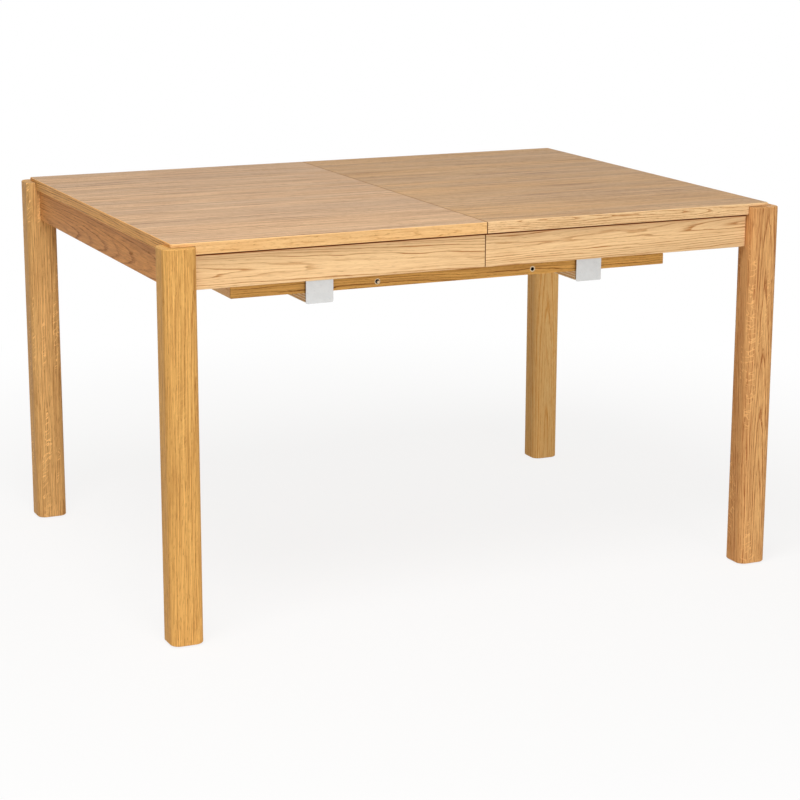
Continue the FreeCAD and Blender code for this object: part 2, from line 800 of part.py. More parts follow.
def loose_leaf_pieces():
    panel, side_lippings, end_lippings = leaf_pieces()
    pins, bushes = leaf_plug_mouths()
    return {
        "leaf_panel": [panel],
        "leaf_side_lippings": side_lippings,
        "leaf_end_lippings": end_lippings,
        "leaf_pins": [pin_plug(mouth, outward) for mouth, outward in pins],
        "leaf_bushes": [bush_plug(mouth, outward) for mouth, outward in bushes],
    }


def latch_pieces():
    return {
        "seam_latch_hook": [latch_hook()],
        "seam_latch_pivot": [latch_post(-latch_pivot_distance)],
        "seam_latch_stud": [latch_post(latch_stud_distance)],
    }


def table():
    pieces = {}
    for name, side in SIDES.items():
        pieces.update(half_pieces(name, side))
    pieces.update(cradle_pieces())
    pieces.update(loose_leaf_pieces())
    pieces.update(latch_pieces())
    return pieces


os.makedirs("parts", exist_ok=True)
for node, solids in table().items():
    shape = solids[0] if len(solids) == 1 else Part.makeCompound(solids)
    shape.exportStep("parts/" + node + ".step")
print("slide travel of each half:", slide_travel)
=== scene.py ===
import math
from collections import namedtuple
import bmesh
import bpy
from mathutils import Matrix, Vector


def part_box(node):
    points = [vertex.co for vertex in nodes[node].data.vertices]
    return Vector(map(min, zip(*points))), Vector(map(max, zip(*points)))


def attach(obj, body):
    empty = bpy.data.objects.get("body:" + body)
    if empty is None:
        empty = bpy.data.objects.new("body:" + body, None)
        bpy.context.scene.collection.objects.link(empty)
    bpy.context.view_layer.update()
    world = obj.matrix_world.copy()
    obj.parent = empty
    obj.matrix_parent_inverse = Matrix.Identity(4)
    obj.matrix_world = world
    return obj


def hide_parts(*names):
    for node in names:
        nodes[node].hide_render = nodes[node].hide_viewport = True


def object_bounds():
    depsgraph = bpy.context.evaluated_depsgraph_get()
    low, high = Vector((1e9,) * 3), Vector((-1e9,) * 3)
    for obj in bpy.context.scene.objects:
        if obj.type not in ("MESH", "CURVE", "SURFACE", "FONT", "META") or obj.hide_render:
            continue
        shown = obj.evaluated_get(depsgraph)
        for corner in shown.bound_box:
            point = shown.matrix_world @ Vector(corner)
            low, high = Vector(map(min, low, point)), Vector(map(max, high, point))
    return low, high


# Looks of an extending oak table with a split top and a leaf stored under it.
# Metres, in the table's own frame: X runs along the table, -Y is the front and +Z is up.

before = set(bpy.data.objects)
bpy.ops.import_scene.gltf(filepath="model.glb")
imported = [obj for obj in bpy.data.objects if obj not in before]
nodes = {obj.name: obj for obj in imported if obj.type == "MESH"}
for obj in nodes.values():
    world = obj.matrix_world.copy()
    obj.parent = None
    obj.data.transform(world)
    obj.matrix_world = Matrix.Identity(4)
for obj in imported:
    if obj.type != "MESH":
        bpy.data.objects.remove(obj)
cad_low, cad_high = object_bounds()

# Camera, fitted to the outline of the table in a picture of 800 by 800 pixels
picture_size = 800.0
sensor_width = 36.0
focal_pixels = 2228.0
camera_place = Vector((-1.871, -4.187, 1.417))
camera_yaw = math.radians(24.445)
camera_pitch = math.radians(13.68)
camera_roll = math.radians(0.16)

# Light
WHITE = (1.0, 1.0, 1.0, 1.0)
sky_colour = (1.0, 0.92, 0.83, 1.0)
sky_strength = 0.36
floor_colour = (0.86, 0.80, 0.73, 1.0)
floor_half = 12.0
floor_drop = 0.0005
shadow_reach = (0.9, 2.2)   # distances from the table over which its shadow fades from the floor
shadow_share = 0.16

# Lamps: name, place, size and power
lamps = (
    ("front lamp", Vector((-0.5, -20.0, 2.2)), 7.6, 1340.0),
    ("low left lamp", Vector((-4.4, -2.6, 0.5)), 2.0, 9.0),
    ("upper lamp", Vector((-1.1, -1.4, 3.3)), 1.8, 58.0),
)

# Grain directions: the turn that lays the wood's own X axis along the table, across it or upright
quarter_turn = math.radians(90)
ALONG = (0.0, 0.0, 0.0)
ACROSS = (0.0, 0.0, quarter_turn)
UPRIGHT = (0.0, -quarter_turn, 0.0)
EVEN = (1.0, 1.0, 1.0)      # a figure that isn't drawn out along the grain

# Sheen of the oiled wood, and depth and strength of the fine relief on each kind of surface
top_sheen = 0.09
frame_sheen = 0.05
wood_relief = 0.0004
metal_relief = 0.0001
plastic_relief = 0.00005
relief_strength = 0.35

# How far up a lipping's face points: where its level face begins, and where its eased edge, which gets a
# painted highlight, begins and ends
level_face = (0.90, 0.97)
ease_begins = (0.20, 0.50)
ease_ends = (0.88, 0.95)

# Painted shade and plies
outer_shade_reach = (0.022, 0.034)        # distances from the heart over which painted shade reddens a leg's sides
seam_shade_reach = (0.0008, 0.0013)       # distances from the seam over which the painted shade of its gap ends
seam_shade_share = 0.85
groove_shade_reach = (0.0034, 0.0044)     # depths under the top over which the painted shade in the groove and on its lip ends on an apron
ply_count = 7

# Plugs: the pins and bushes in the leaf's long edges and in the seam
bore_radius = 0.003
pin_radius = 0.0028
rim_shade = 0.0006          # width of the painted shade round a bore's mouth
pin_shade = 0.0016          # width of the painted shade round a pin's foot
shade_ease = 0.0003         # width over which that painted shade fades

# Screws: shank radius, length under the head, head radius, head height
frame_screw = (0.0020, 0.016, 0.0040, 0.0024)
runner_screw = (0.00225, 0.044, 0.0043, 0.0030)
hanger_screw = (0.00175, 0.014, 0.0035, 0.0020)
screw_sides = 24
screw_point_length = 0.003
screw_point_radius = 0.0003
head_crown = 0.72           # radius of the head's flat crown, as a share of the head's radius
head_wall = 0.45            # height of the head's straight wall, as a share of the head's height
slot_length = 1.15          # arm to arm of the cross slot, as a share of the head's radius
slot_width = 0.24           # as a share of the head's radius
slot_depth = 0.62           # as a share of the head's height
screw_seed = 7
weld_distance = 1e-6        # corners of a solid's triangles that lie closer than this are one

# A look is a node group with its values, laid on a piece. A surface is what it gives there.
Look = namedtuple("Look", "group values heart turn stretch", defaults=((0.0, 0.0, 0.0), ALONG, EVEN))
Surface = namedtuple("Surface", "colour roughness height")


def tint(red, green, blue):
    """A colour given as it looks on a screen, from 0 to 255, as the linear colour that nodes use."""
    def linear(level):
        share = level / 255
        return share / 12.92 if share <= 0.04045 else ((share + 0.055) / 1.055) ** 2.4
    return (linear(red), linear(green), linear(blue), 1.0)


class Graph:
    """Adds nodes to a tree. A value that is a socket is linked, and any other value is set."""

    def __init__(self, tree):
        self.tree = tree

    def put(self, socket, value):
        if isinstance(value, bpy.types.NodeSocket):
            self.tree.links.new(value, socket)
        else:
            socket.default_value = value

    def add(self, kind, values=None, **settings):
        node = self.tree.nodes.new(kind)
        for name, setting in settings.items():
            setattr(node, name, setting)
        for key, value in (values or {}).items():
            self.put(node.inputs[key], value)
        return node

    def math(self, operation, *values):
        return self.add("ShaderNodeMath", dict(enumerate(values)), operation=operation).outputs[0]

    def vector(self, operation, *values):
        return self.add("ShaderNodeVectorMath", dict(enumerate(values)), operation=operation).outputs[0]

    def scaled(self, vector, factor):
        return self.add("ShaderNodeVectorMath", {0: vector, "Scale": factor}, operation="SCALE").outputs[0]

    def length(self, vector):
        return self.add("ShaderNodeVectorMath", {0: vector}, operation="LENGTH").outputs["Value"]

    def axes(self, vector):
        return self.add("ShaderNodeSeparateXYZ", {0: vector}).outputs

    def from_axes(self, values):
        return self.add("ShaderNodeCombineXYZ", values).outputs[0]

    def noise(self, vector, scales, detail=2.0, roughness=0.5):
        """Noise with its own number of waves per metre on each axis."""
        values = {
            "Vector": self.vector("MULTIPLY", vector, scales),
            "Scale": 1.0, "Detail": detail, "Roughness": roughness}
        return self.add("ShaderNodeTexNoise", values).outputs[0]

    def chance(self, number):
        """A fixed chance value from 0 to 1 for each whole number."""
        return self.add("ShaderNodeTexWhiteNoise", {"W": number}, noise_dimensions="1D").outputs[0]

    def remap(self, value, low, high, to_low=0.0, to_high=1.0):
        values = {0: value, 1: low, 2: high, 3: to_low, 4: to_high}
        return self.add("ShaderNodeMapRange", values, interpolation_type="SMOOTHSTEP").outputs[0]

    def blend(self, factor, first, second, kind="MIX"):
        values = {0: factor, 6: first, 7: second}
        return self.add("ShaderNodeMix", values, data_type="RGBA", blend_type=kind).outputs[2]

    def between(self, factor, first, second):
        return self.add("ShaderNodeMix", {0: factor, 2: first, 3: second}, data_type="FLOAT").outputs[0]

    def shade(self, colour, amount):
        """Darkens or lightens a colour by an amount about 1."""
        grey = self.add("ShaderNodeCombineColor", {0: amount, 1: amount, 2: amount}).outputs[0]
        return self.blend(1.0, colour, grey, "MULTIPLY")


class SolidGraph(Graph):
    """Also adds nodes that make solids on the Z axis, in a geometry tree."""

    def raised(self, mesh, height):
        offset = self.from_axes({2: height})
        return self.add("GeometryNodeTransform", {"Geometry": mesh, "Translation": offset}).outputs[0]

    def rod(self, radius, length, bottom):
        values = {"Vertices": screw_sides, "Radius": radius, "Depth": length}
        mesh = self.add("GeometryNodeMeshCylinder", values).outputs[0]
        return self.raised(mesh, self.math("MULTIPLY_ADD", length, 0.5, bottom))

    def taper(self, upper, lower, length, bottom):
        values = {"Vertices": screw_sides, "Radius Top": upper, "Radius Bottom": lower, "Depth": length}
        return self.raised(self.add("GeometryNodeMeshCone", values).outputs[0], bottom)

    def joined(self, *meshes):
        node = self.add("GeometryNodeMeshBoolean", operation="UNION", solver="MANIFOLD")
        for mesh in meshes:
            self.put(node.inputs["Mesh 2"], mesh)
        return node.outputs["Mesh"]

    def cut(self, mesh, tool):
        node = self.add("GeometryNodeMeshBoolean", operation="DIFFERENCE", solver="MANIFOLD")
        self.put(node.inputs["Mesh 1"], mesh)
        self.put(node.inputs["Mesh 2"], tool)
        return node.outputs["Mesh"]


def fresh_graph(owner):
    """The emptied node tree of a material or a world."""
    owner.use_nodes = True
    owner.node_tree.nodes.clear()
    return Graph(owner.node_tree)


def new_group(name, inputs, outputs, kind="ShaderNodeTree", graph_class=Graph):
    """A node group with named sockets. Gives its graph, what comes in and where results go."""
    tree = bpy.data.node_groups.new(name, kind)
    for title, socket in inputs:
        tree.interface.new_socket(title, in_out="INPUT", socket_type=socket)
    for title, socket in outputs:
        tree.interface.new_socket(title, in_out="OUTPUT", socket_type=socket)
    graph = graph_class(tree)
    entry = graph.add("NodeGroupInput")
    leaving = graph.add("NodeGroupOutput")
    return graph, entry.outputs, leaving.inputs


def surface_group(name, colours, numbers):
    inputs = [("Vector", "NodeSocketVector")]
    inputs += [(title, "NodeSocketColor") for title in colours]
    inputs += [(title, "NodeSocketFloat") for title in numbers]
    outputs = [("Color", "NodeSocketColor"), ("Roughness", "NodeSocketFloat"), ("Height", "NodeSocketFloat")]
    return new_group(name, inputs, outputs)


def mask_group(name):
    return new_group(name, [("Vector", "NodeSocketVector")], [("Mask", "NodeSocketFloat")])


def year_rings(graph, given, wave):
    """The distance from the heart, and the porous early wood of each year's ring, from 0 to 1."""
    place = given["Vector"]
    ripple = graph.noise(place, (8.0, 42.0, 42.0))
    quiver = graph.noise(place, (34.0, 170.0, 170.0))
    sway = graph.math("MULTIPLY_ADD", ripple, 0.35, graph.math("MULTIPLY_ADD", quiver, 0.06, wave))
    radius = graph.length(graph.vector("MULTIPLY", place, (0.0, 1.0, 1.0)))
    bent_radius = graph.math("MULTIPLY_ADD", sway, given["Wander"], radius)
    ring = graph.math("DIVIDE", bent_radius, given["Ring Width"])
    inside = graph.math("FRACT", ring)
    year = graph.remap(graph.chance(graph.math("FLOOR", ring)), 0.0, 1.0, 0.25, 1.0)
    band = graph.math("MULTIPLY", graph.remap(inside, 0.0, 0.08), graph.remap(inside, 0.1, 0.42, 1.0, 0.0))
    return radius, graph.math("MULTIPLY", band, year)


def ray_flecks(graph, place):
    """Short winding flecks on a slant, in clumps."""
    axes = graph.axes(place)
    slope = graph.math("MULTIPLY", graph.math("ADD", axes[1], axes[2]), 0.5)
    slant = graph.vector("ADD", place, graph.from_axes({0: slope}))
    winding = graph.noise(slant, (140.0, 48.0, 48.0), detail=1.0)
    ray = graph.remap(graph.math("ABSOLUTE", graph.math("SUBTRACT", winding, 0.5)), 0.012, 0.04, 1.0, 0.0)
    clump = graph.remap(graph.noise(place, (7.0, 45.0, 45.0)), 0.52, 0.6)
    return graph.math("MULTIPLY", ray, clump)


def wood_figure():
    """Year rings round a heart line on X, cut by the board, with fibres, marks, pores and ray flecks."""
    graph, given, result = surface_group(
        "wood figure", ("Light Wood", "Dark Wood"),
        ("Ring Width", "Wander", "Contrast", "Fibre", "Fineness", "Pores", "Flecks", "Marks", "Outer Shade"))
    place, light, dark = given["Vector"], given["Light Wood"], given["Dark Wood"]
    wave = graph.noise(place, (2.2, 10.0, 10.0), detail=1.0)
    radius, early = year_rings(graph, given, wave)

    # Fibres everywhere, and darker lines along the early wood
    drift = graph.vector("MULTIPLY_ADD", graph.from_axes({1: wave, 2: wave}), (0.03, 0.03, 0.03), place)
    fine = graph.scaled(drift, given["Fineness"])
    streak = graph.remap(graph.noise(fine, (3.5, 230.0, 230.0), detail=3.0, roughness=0.6), 0.38, 0.62)
    thread = graph.remap(graph.noise(fine, (12.0, 520.0, 520.0)), 0.38, 0.62)
    fibre = graph.math("MULTIPLY_ADD", streak, 0.6, graph.math("MULTIPLY", thread, 0.4))
    line = graph.math("MULTIPLY", early, graph.math("MULTIPLY_ADD", thread, 0.4, 0.6))
    lines = graph.math("MULTIPLY", line, given["Contrast"])
    colour = graph.blend(graph.math("MULTIPLY_ADD", fibre, given["Fibre"], lines), light, dark)

    # Paler and darker patches, painted shade that reddens the wood away from the heart, and long dark marks
    patch = graph.noise(place, (2.2, 16.0, 16.0), detail=1.0)
    colour = graph.shade(colour, graph.remap(patch, 0.25, 0.75, 0.93, 1.07))
    # Painted shade on the wood away from the heart
    outer = graph.math("MULTIPLY", graph.remap(radius, *outer_shade_reach), given["Outer Shade"])
    colour = graph.blend(outer, colour, dark)
    mark = graph.remap(graph.noise(drift, (6.5, 115.0, 115.0)), 0.56, 0.70)
    colour = graph.blend(graph.math("MULTIPLY", mark, given["Marks"]), colour, dark)

    # Pores as short dark dashes, most of them in the early wood, and pale ray flecks
    dash = graph.remap(graph.noise(drift, (105.0, 850.0, 850.0), detail=1.0), 0.57, 0.64)
    pore_share = graph.math("MULTIPLY", given["Pores"], graph.remap(early, 0.0, 0.4, 0.4, 1.0))
    pore = graph.math("MULTIPLY", dash, pore_share)
    colour = graph.blend(pore, colour, graph.shade(dark, 0.7))
    fleck = graph.math("MULTIPLY", ray_flecks(graph, place), given["Flecks"])
    colour = graph.blend(fleck, colour, graph.shade(light, 1.15))

    roughness = graph.math("MULTIPLY_ADD", pore, 0.25, graph.remap(patch, 0.2, 0.8, 0.42, 0.52))
    height = graph.math("SUBTRACT", graph.math("MULTIPLY", thread, 0.3), pore)
    graph.put(result["Color"], colour)
    graph.put(result["Roughness"], roughness)
    graph.put(result["Height"], height)
    return graph.tree


def ply_layers():
    """Plies stacked on Z: long grain and end grain by turns, with a thin dark glue line between."""
    graph, given, result = surface_group("ply layers", ("Long Grain", "End Grain"), ("Ply Thickness",))
    place = given["Vector"]
    wobble = graph.noise(place, (25.0, 25.0, 0.0), detail=1.0)
    level = graph.math("MULTIPLY_ADD", wobble, 0.0005, graph.axes(place)[2])
    layer = graph.math("DIVIDE", level, given["Ply Thickness"])
    turn = graph.math("FLOORED_MODULO", graph.math("FLOOR", layer), 2.0)
    colour = graph.blend(turn, given["Long Grain"], given["End Grain"])
    inside = graph.math("ABSOLUTE", graph.math("SUBTRACT", graph.math("FRACT", layer), 0.5))
    glue = graph.remap(inside, 0.42, 0.49)
    colour = graph.blend(glue, colour, graph.shade(given["End Grain"], 0.35))
    fibre = graph.noise(place, (260.0, 18.0, 900.0))
    colour = graph.shade(colour, graph.remap(fibre, 0.25, 0.75, 0.88, 1.08))
    graph.put(result["Color"], colour)
    graph.put(result["Roughness"], graph.remap(fibre, 0.2, 0.8, 0.55, 0.7))
    graph.put(result["Height"], graph.math("SUBTRACT", fibre, glue))
    return graph.tree


def metal_skin():
    """Plated or brushed metal: fine lines along X, a soft bloom and small scuffs."""
    graph, given, result = surface_group("metal skin", ("Metal",), ("Base Roughness", "Brushing"))
    place = given["Vector"]
    lines = graph.noise(place, (25.0, 1500.0, 1500.0))
    bloom = graph.noise(place, (70.0, 70.0, 70.0), detail=3.0)
    scuff = graph.remap(graph.noise(place, (300.0, 300.0, 300.0), detail=3.0), 0.62, 0.72)
    level = graph.remap(bloom, 0.2, 0.8, 0.93, 1.05)
    brushed = graph.math("MULTIPLY", graph.math("SUBTRACT", lines, 0.5), given["Brushing"])
    graph.put(result["Color"], graph.shade(given["Metal"], graph.math("ADD", level, brushed)))
    soft = graph.math("MULTIPLY_ADD", bloom, 0.12, given["Base Roughness"])
    graph.put(result["Roughness"], graph.math("MULTIPLY_ADD", scuff, 0.12, soft))
    graph.put(result["Height"], graph.math("MULTIPLY", lines, given["Brushing"]))
    return graph.tree


def moulded_skin():
    """Moulded plastic: a fine even grain and faint cloudy tone."""
    graph, given, result = surface_group("moulded skin", ("Plastic",), ("Base Roughness",))
    place = given["Vector"]
    cloud = graph.noise(place, (90.0, 90.0, 90.0))
    grain = graph.noise(place, (2200.0, 2200.0, 2200.0), detail=1.0)
    graph.put(result["Color"], graph.shade(given["Plastic"], graph.remap(cloud, 0.25, 0.75, 0.9, 1.1)))
    graph.put(result["Roughness"], graph.math("MULTIPLY_ADD", grain, 0.15, given["Base Roughness"]))
    graph.put(result["Height"], grain)
    return graph.tree


def seam_shade_mask():
    """A mask of painted shade beside the seam, standing in for the shadow in its gap."""
    graph, given, result = mask_group("seam painted shade")
    distance = graph.math("ABSOLUTE", graph.axes(given["Vector"])[0])
    graph.put(result["Mask"], graph.remap(distance, *seam_shade_reach, seam_shade_share, 0.0))
    return graph.tree


def groove_shade_mask():
    """A mask of painted shade in the groove between an apron and the top, and on its lip, where the top's
    shadow falls.
    """
    graph, given, result = mask_group("groove painted shade")
    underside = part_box("left_top_panel")[0].z
    depth = graph.math("SUBTRACT", underside, graph.axes(given["Vector"])[2])
    graph.put(result["Mask"], graph.remap(depth, *groove_shade_reach, 1.0, 0.0))
    return graph.tree


WOOD_FIGURE = wood_figure()
SEAM_SHADE_MASK = seam_shade_mask()
GROOVE_SHADE_MASK = groove_shade_mask()
PLY_LAYERS = ply_layers()
METAL_SKIN = metal_skin()
MOULDED_SKIN = moulded_skin()


def wood(colours, grain, heart, lean=(0.0, 0.0), stretch=1.0, ring=0.006, wander=0.01,
         contrast=0.4, fibre=0.4, fineness=1.0, pores=0.5, flecks=0.0, marks=0.0, outer_shade=0.0):
    """A look of wood with its grain along one direction. The heart line passes a point and leans a little.

    Stretch draws the figure out along the grain, and outer shade paints a reddening shade on the wood away
    from the heart.
    """
    light, dark = colours
    turn = (grain[0], grain[1] + math.radians(lean[0]), grain[2] + math.radians(lean[1]))
    values = {
        "Light Wood": light, "Dark Wood": dark, "Ring Width": ring, "Wander": wander,
        "Contrast": contrast, "Fibre": fibre, "Fineness": fineness,
        "Pores": pores, "Flecks": flecks, "Marks": marks, "Outer Shade": outer_shade}
    return Look(WOOD_FIGURE, values, heart, turn, (stretch, 1.0, 1.0))


def veneer(colours, grain, heart):
    """The sliced oak on the two halves of the top and on the leaf."""
    return wood(
        colours, grain, heart, stretch=1.6, ring=0.010, wander=0.045,
        contrast=0.24, fibre=0.6, fineness=0.9, pores=0.6, marks=0.6)


def metal(colour, roughness, brushing):
    return Look(METAL_SKIN, {"Metal": colour, "Base Roughness": roughness, "Brushing": brushing})


class Finish:
    """A material under way. Looks are laid on the piece, and the last one reaches its surface."""

    def __init__(self, name, shader=None):
        self.material = bpy.data.materials.new(name)
        self.graph = fresh_graph(self.material)
        self.shader = self.graph.add("ShaderNodeBsdfPrincipled", shader)
        output = self.graph.add("ShaderNodeOutputMaterial")
        self.graph.put(output.inputs["Surface"], self.shader.outputs[0])
        self.place = self.graph.add("ShaderNodeTexCoord").outputs["Object"]

    def lay(self, look):
        mapping = {
            "Vector": self.place, "Location": look.heart, "Rotation": look.turn, "Scale": look.stretch}
        laid = self.graph.add("ShaderNodeMapping", mapping, vector_type="TEXTURE").outputs[0]
        values = {"Vector": laid, **look.values}
        given = self.graph.add("ShaderNodeGroup", values, node_tree=look.group).outputs
        return Surface(given["Color"], given["Roughness"], given["Height"])

    def paint_shade(self, surface, edge, dark):
        """The surface, with painted shade where a mask says so."""
        mask = self.graph.add("ShaderNodeGroup", {"Vector": self.place}, node_tree=edge).outputs["Mask"]
        return surface._replace(colour=self.graph.blend(mask, surface.colour, dark))

    def close(self, surface, relief):
        values = {"Height": surface.height, "Distance": relief, "Strength": relief_strength}
        bump = self.graph.add("ShaderNodeBump", values)
        self.graph.put(self.shader.inputs["Base Color"], surface.colour)
        self.graph.put(self.shader.inputs["Roughness"], surface.roughness)
        self.graph.put(self.shader.inputs["Normal"], bump.outputs[0])
        return self.material


def oiled(name, look, sheen=frame_sheen, seam_shaded=False, groove_shaded=False):
    finish = Finish(name, {"Specular IOR Level": sheen})
    surface = finish.lay(look)
    # Painted shade beside the seam's gap and in the groove under the top
    if seam_shaded:
        surface = finish.paint_shade(surface, SEAM_SHADE_MASK, SEAM_SHADE)
    if groove_shaded:
        surface = finish.paint_shade(surface, GROOVE_SHADE_MASK, GROOVE_SHADE)
    return finish.close(surface, wood_relief)


def oiled_lipping(name, edge, face, seam_shaded=False):
    """A lipping whose level faces are covered by the veneer of the board, with a painted highlight on its
    eased edges.
    """
    finish = Finish(name, {"Specular IOR Level": top_sheen})
    graph = finish.graph
    normal = graph.add("ShaderNodeNewGeometry").outputs["Normal"]
    upward = graph.math("ABSOLUTE", graph.axes(normal)[2])
    level = graph.remap(upward, *level_face)
    begun, not_ended = graph.remap(upward, *ease_begins), graph.remap(upward, *ease_ends, 1.0, 0.0)
    eased = graph.math("MULTIPLY", begun, not_ended)
    side, cover = finish.lay(edge), finish.lay(face)
    # Painted highlight along the lipping's eased edge
    highlighted = graph.blend(eased, side.colour, graph.shade(edge.values["Light Wood"], 1.08))
    surface = Surface(
        graph.blend(level, highlighted, cover.colour),
        graph.between(level, side.roughness, cover.roughness),
        graph.between(level, side.height, cover.height))
    # Painted shade beside the seam's gap
    if seam_shaded:
        surface = finish.paint_shade(surface, SEAM_SHADE_MASK, SEAM_SHADE)
    return finish.close(surface, wood_relief)


def bare_metal(name, look):
    finish = Finish(name, {"Metallic": 1.0})
    return finish.close(finish.lay(look), metal_relief)


def plug_middle(node, spread_axis):
    """Where a node's plugs lie, as distances from the table's middle, with none along their own axis."""
    low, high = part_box(node)
    radius = (high.z - low.z) / 2
    middle = Vector((0.0, 0.0, low.z + radius))
    middle[spread_axis] = high[spread_axis] - radius
    return middle


def plug_metal(name, look, middle, across, inner, outer):
    """Metal of a pin or bush, with painted shade in a ring round its axis, dark and not metallic, as in a
    bore or beside a pin.
    """
    finish = Finish(name)
    graph = finish.graph
    surface = finish.lay(look)
    offset = graph.vector("SUBTRACT", graph.vector("ABSOLUTE", finish.place), middle)
    radius = graph.length(graph.vector("MULTIPLY", offset, across))
    # Painted shade: a dark, not metallic ring in a bore's mouth or round a pin's foot
    past_inner = graph.remap(radius, inner - shade_ease, inner)
    dark = graph.math("MULTIPLY", past_inner, graph.remap(radius, outer, outer + shade_ease, 1.0, 0.0))
    graph.put(finish.shader.inputs["Metallic"], graph.math("SUBTRACT", 1.0, dark))
    colour = graph.blend(dark, surface.colour, BORE_SHADE)
    return finish.close(surface._replace(colour=colour), metal_relief)


def moulded(name, colour, roughness):
    finish = Finish(name)
    look = Look(MOULDED_SKIN, {"Plastic": colour, "Base Roughness": roughness})
    return finish.close(finish.lay(look), plastic_relief)


def paint(material, *names):
    for name in names:
        nodes[name].material_slots[0].material = material


# Woods, each with its light and its dark colour, as they look in even light
APRON_OAK = tint(247, 212, 162), tint(178, 116, 58)
END_APRON_OAK = tint(232, 169, 106), tint(150, 88, 40)
TOP_OAK = tint(233, 195, 152), tint(146, 98, 60)
RIGHT_TOP_OAK = tint(227, 185, 132), tint(140, 93, 52)
LONG_EDGE_OAK = tint(249, 206, 146), tint(204, 140, 70)
CROSS_EDGE_OAK = tint(244, 186, 110), tint(136, 80, 32)
LEAF_EDGE_OAK = tint(236, 184, 102), tint(138, 84, 32)
LEAF_END_OAK = tint(247, 212, 162), tint(204, 140, 70)
LEG_OAK = tint(247, 196, 116), tint(156, 94, 38)
RED_LEG_OAK = tint(252, 201, 134), tint(150, 76, 30)
BROWN_LEG_OAK = tint(244, 196, 128), tint(146, 90, 42)
PALE_LEG_OAK = tint(253, 215, 147), tint(230, 166, 86)
RUNNER_BEECH = tint(226, 188, 142), tint(180, 134, 90)
DOWEL_BEECH = tint(228, 192, 148), tint(184, 140, 96)
PLY_LONG_GRAIN = tint(253, 234, 198)
PLY_END_GRAIN = tint(238, 196, 142)

# Painted shades, metals and plastic
SEAM_SHADE = tint(128, 82, 44)
GROOVE_SHADE = tint(158, 86, 40)
BORE_SHADE = tint(24, 20, 18)
ZINC = tint(196, 197, 192)
NICKEL = tint(208, 184, 148)
PLATE_STEEL = tint(209, 210, 209)
BROWN_NYLON = tint(92, 80, 68)


def dress_tops():
    for side, oak, veneer_heart, edge_oak, edge_heart, edge_contrast, end in (
            ("left", TOP_OAK, (0.0, -1.3, 0.42),
             LONG_EDGE_OAK, (0.0, -0.455, 0.733), 0.45, -0.66),
            ("right", RIGHT_TOP_OAK, (1.7, -1.3, 0.59),
             APRON_OAK, (1.7, -0.455, 0.733), 0.95, 0.66)):
        face = veneer(oak, ALONG, veneer_heart)
        long_edge = wood(
            edge_oak, ALONG, edge_heart, (0.5, 0.4),
            ring=0.0035, wander=0.03, contrast=edge_contrast, fibre=0.35, fineness=1.3)
        cross_edge = wood(
            CROSS_EDGE_OAK, ACROSS, (end, 0.1, 0.60), (0.4, 0.0), stretch=1.6,
            ring=0.0044, wander=0.014, contrast=1.0, fibre=0.4)
        # The top and its lippings get painted shade beside the seam's gap
        long_lipping = oiled_lipping(side + " long lipping", long_edge, face, seam_shaded=True)
        end_lipping = oiled_lipping(side + " end lipping", cross_edge, face, seam_shaded=True)
        paint(oiled(side + " top veneer", face, top_sheen, seam_shaded=True), side + "_top_panel")
        paint(long_lipping, side + "_top_side_lippings")
        paint(end_lipping, side + "_top_end_lippings")


def dress_aprons():
    for side, face, heart, lean in (
            ("left", "front", (-0.35, -0.443, 0.686), (1.0, 0.8)),
            ("right", "front", (0.30, -0.444, 0.704), (-1.6, -0.8)),
            ("left", "back", (-0.2, 0.443, 0.69), (1.0, 0.8)),
            ("right", "back", (0.4, 0.444, 0.70), (-1.5, 0.5))):
        board = wood(
            APRON_OAK, ALONG, heart, lean, stretch=2.0,
            ring=0.0038, wander=0.030, contrast=0.95, fibre=0.25, fineness=1.2, pores=0.35)
        # Painted shade beside the seam's gap and in the groove under the top
        finish = oiled(" ".join((side, face, "apron oak")), board, seam_shaded=True, groove_shaded=True)
        paint(finish, "_".join((side, face, "apron")))
    for side, heart in (("left", (-0.588, 0.36, 0.668)), ("right", (0.588, -0.36, 0.668))):
        board = wood(
            END_APRON_OAK, ACROSS, heart, (1.5, 1.8), stretch=1.8,
            ring=0.0036, wander=0.013, contrast=0.6, fibre=0.4, fineness=1.2, pores=0.4)
        # Painted shade in the groove under the top and on its lip
        paint(oiled(side + " end apron oak", board, groove_shaded=True), side + "_end_apron")


def dress_legs():
    # The last column is the share of painted shade away from the heart, on the front right leg's sides
    for side, face, oak, heart, lean, ring, contrast, flecks, outer_shade in (
            ("left", "front", LEG_OAK, (-0.70, -0.30, 0.2), (0.8, 0.0), 0.0030, 0.4, 0.15, 0.0),
            ("right", "front", RED_LEG_OAK, (0.618, -0.468, 0.4), (1.6, 90.0), 0.0036, 0.65, 0.45, 0.22),
            ("left", "back", BROWN_LEG_OAK, (-0.75, 0.62, 0.1), (0.8, 0.0), 0.0030, 0.45, 0.9, 0.0),
            ("right", "back", PALE_LEG_OAK, (0.612, 0.440, 0.4), (2.0, 90.0), 0.0046, 1.0, 0.1, 0.0)):
        post = wood(
            oak, UPRIGHT, heart, lean, stretch=1.5, ring=ring, wander=0.010, contrast=contrast,
            fibre=0.58, fineness=2.3, pores=0.5, flecks=flecks, outer_shade=outer_shade)
        paint(oiled(" ".join((side, face, "leg oak")), post), "_".join((side, face, "leg")))


def dress_leaf():
    face = veneer(TOP_OAK, ACROSS, (0.3, -1.4, 0.3))
    long_edge = wood(
        LEAF_EDGE_OAK, ALONG, (0.2, -0.30, 0.60),
        ring=0.003, wander=0.02, contrast=1.0, fibre=0.45, fineness=0.8)
    cross_edge = wood(
        LEAF_END_OAK, ACROSS, (0.3, 0.1, 0.58),
        ring=0.004, wander=0.012, contrast=0.3, fibre=0.3)
    paint(oiled("leaf veneer", face, top_sheen), "leaf_panel")
    paint(oiled_lipping("leaf long lipping", long_edge, face), "leaf_side_lippings")
    paint(oiled_lipping("leaf end lipping", cross_edge, face), "leaf_end_lippings")


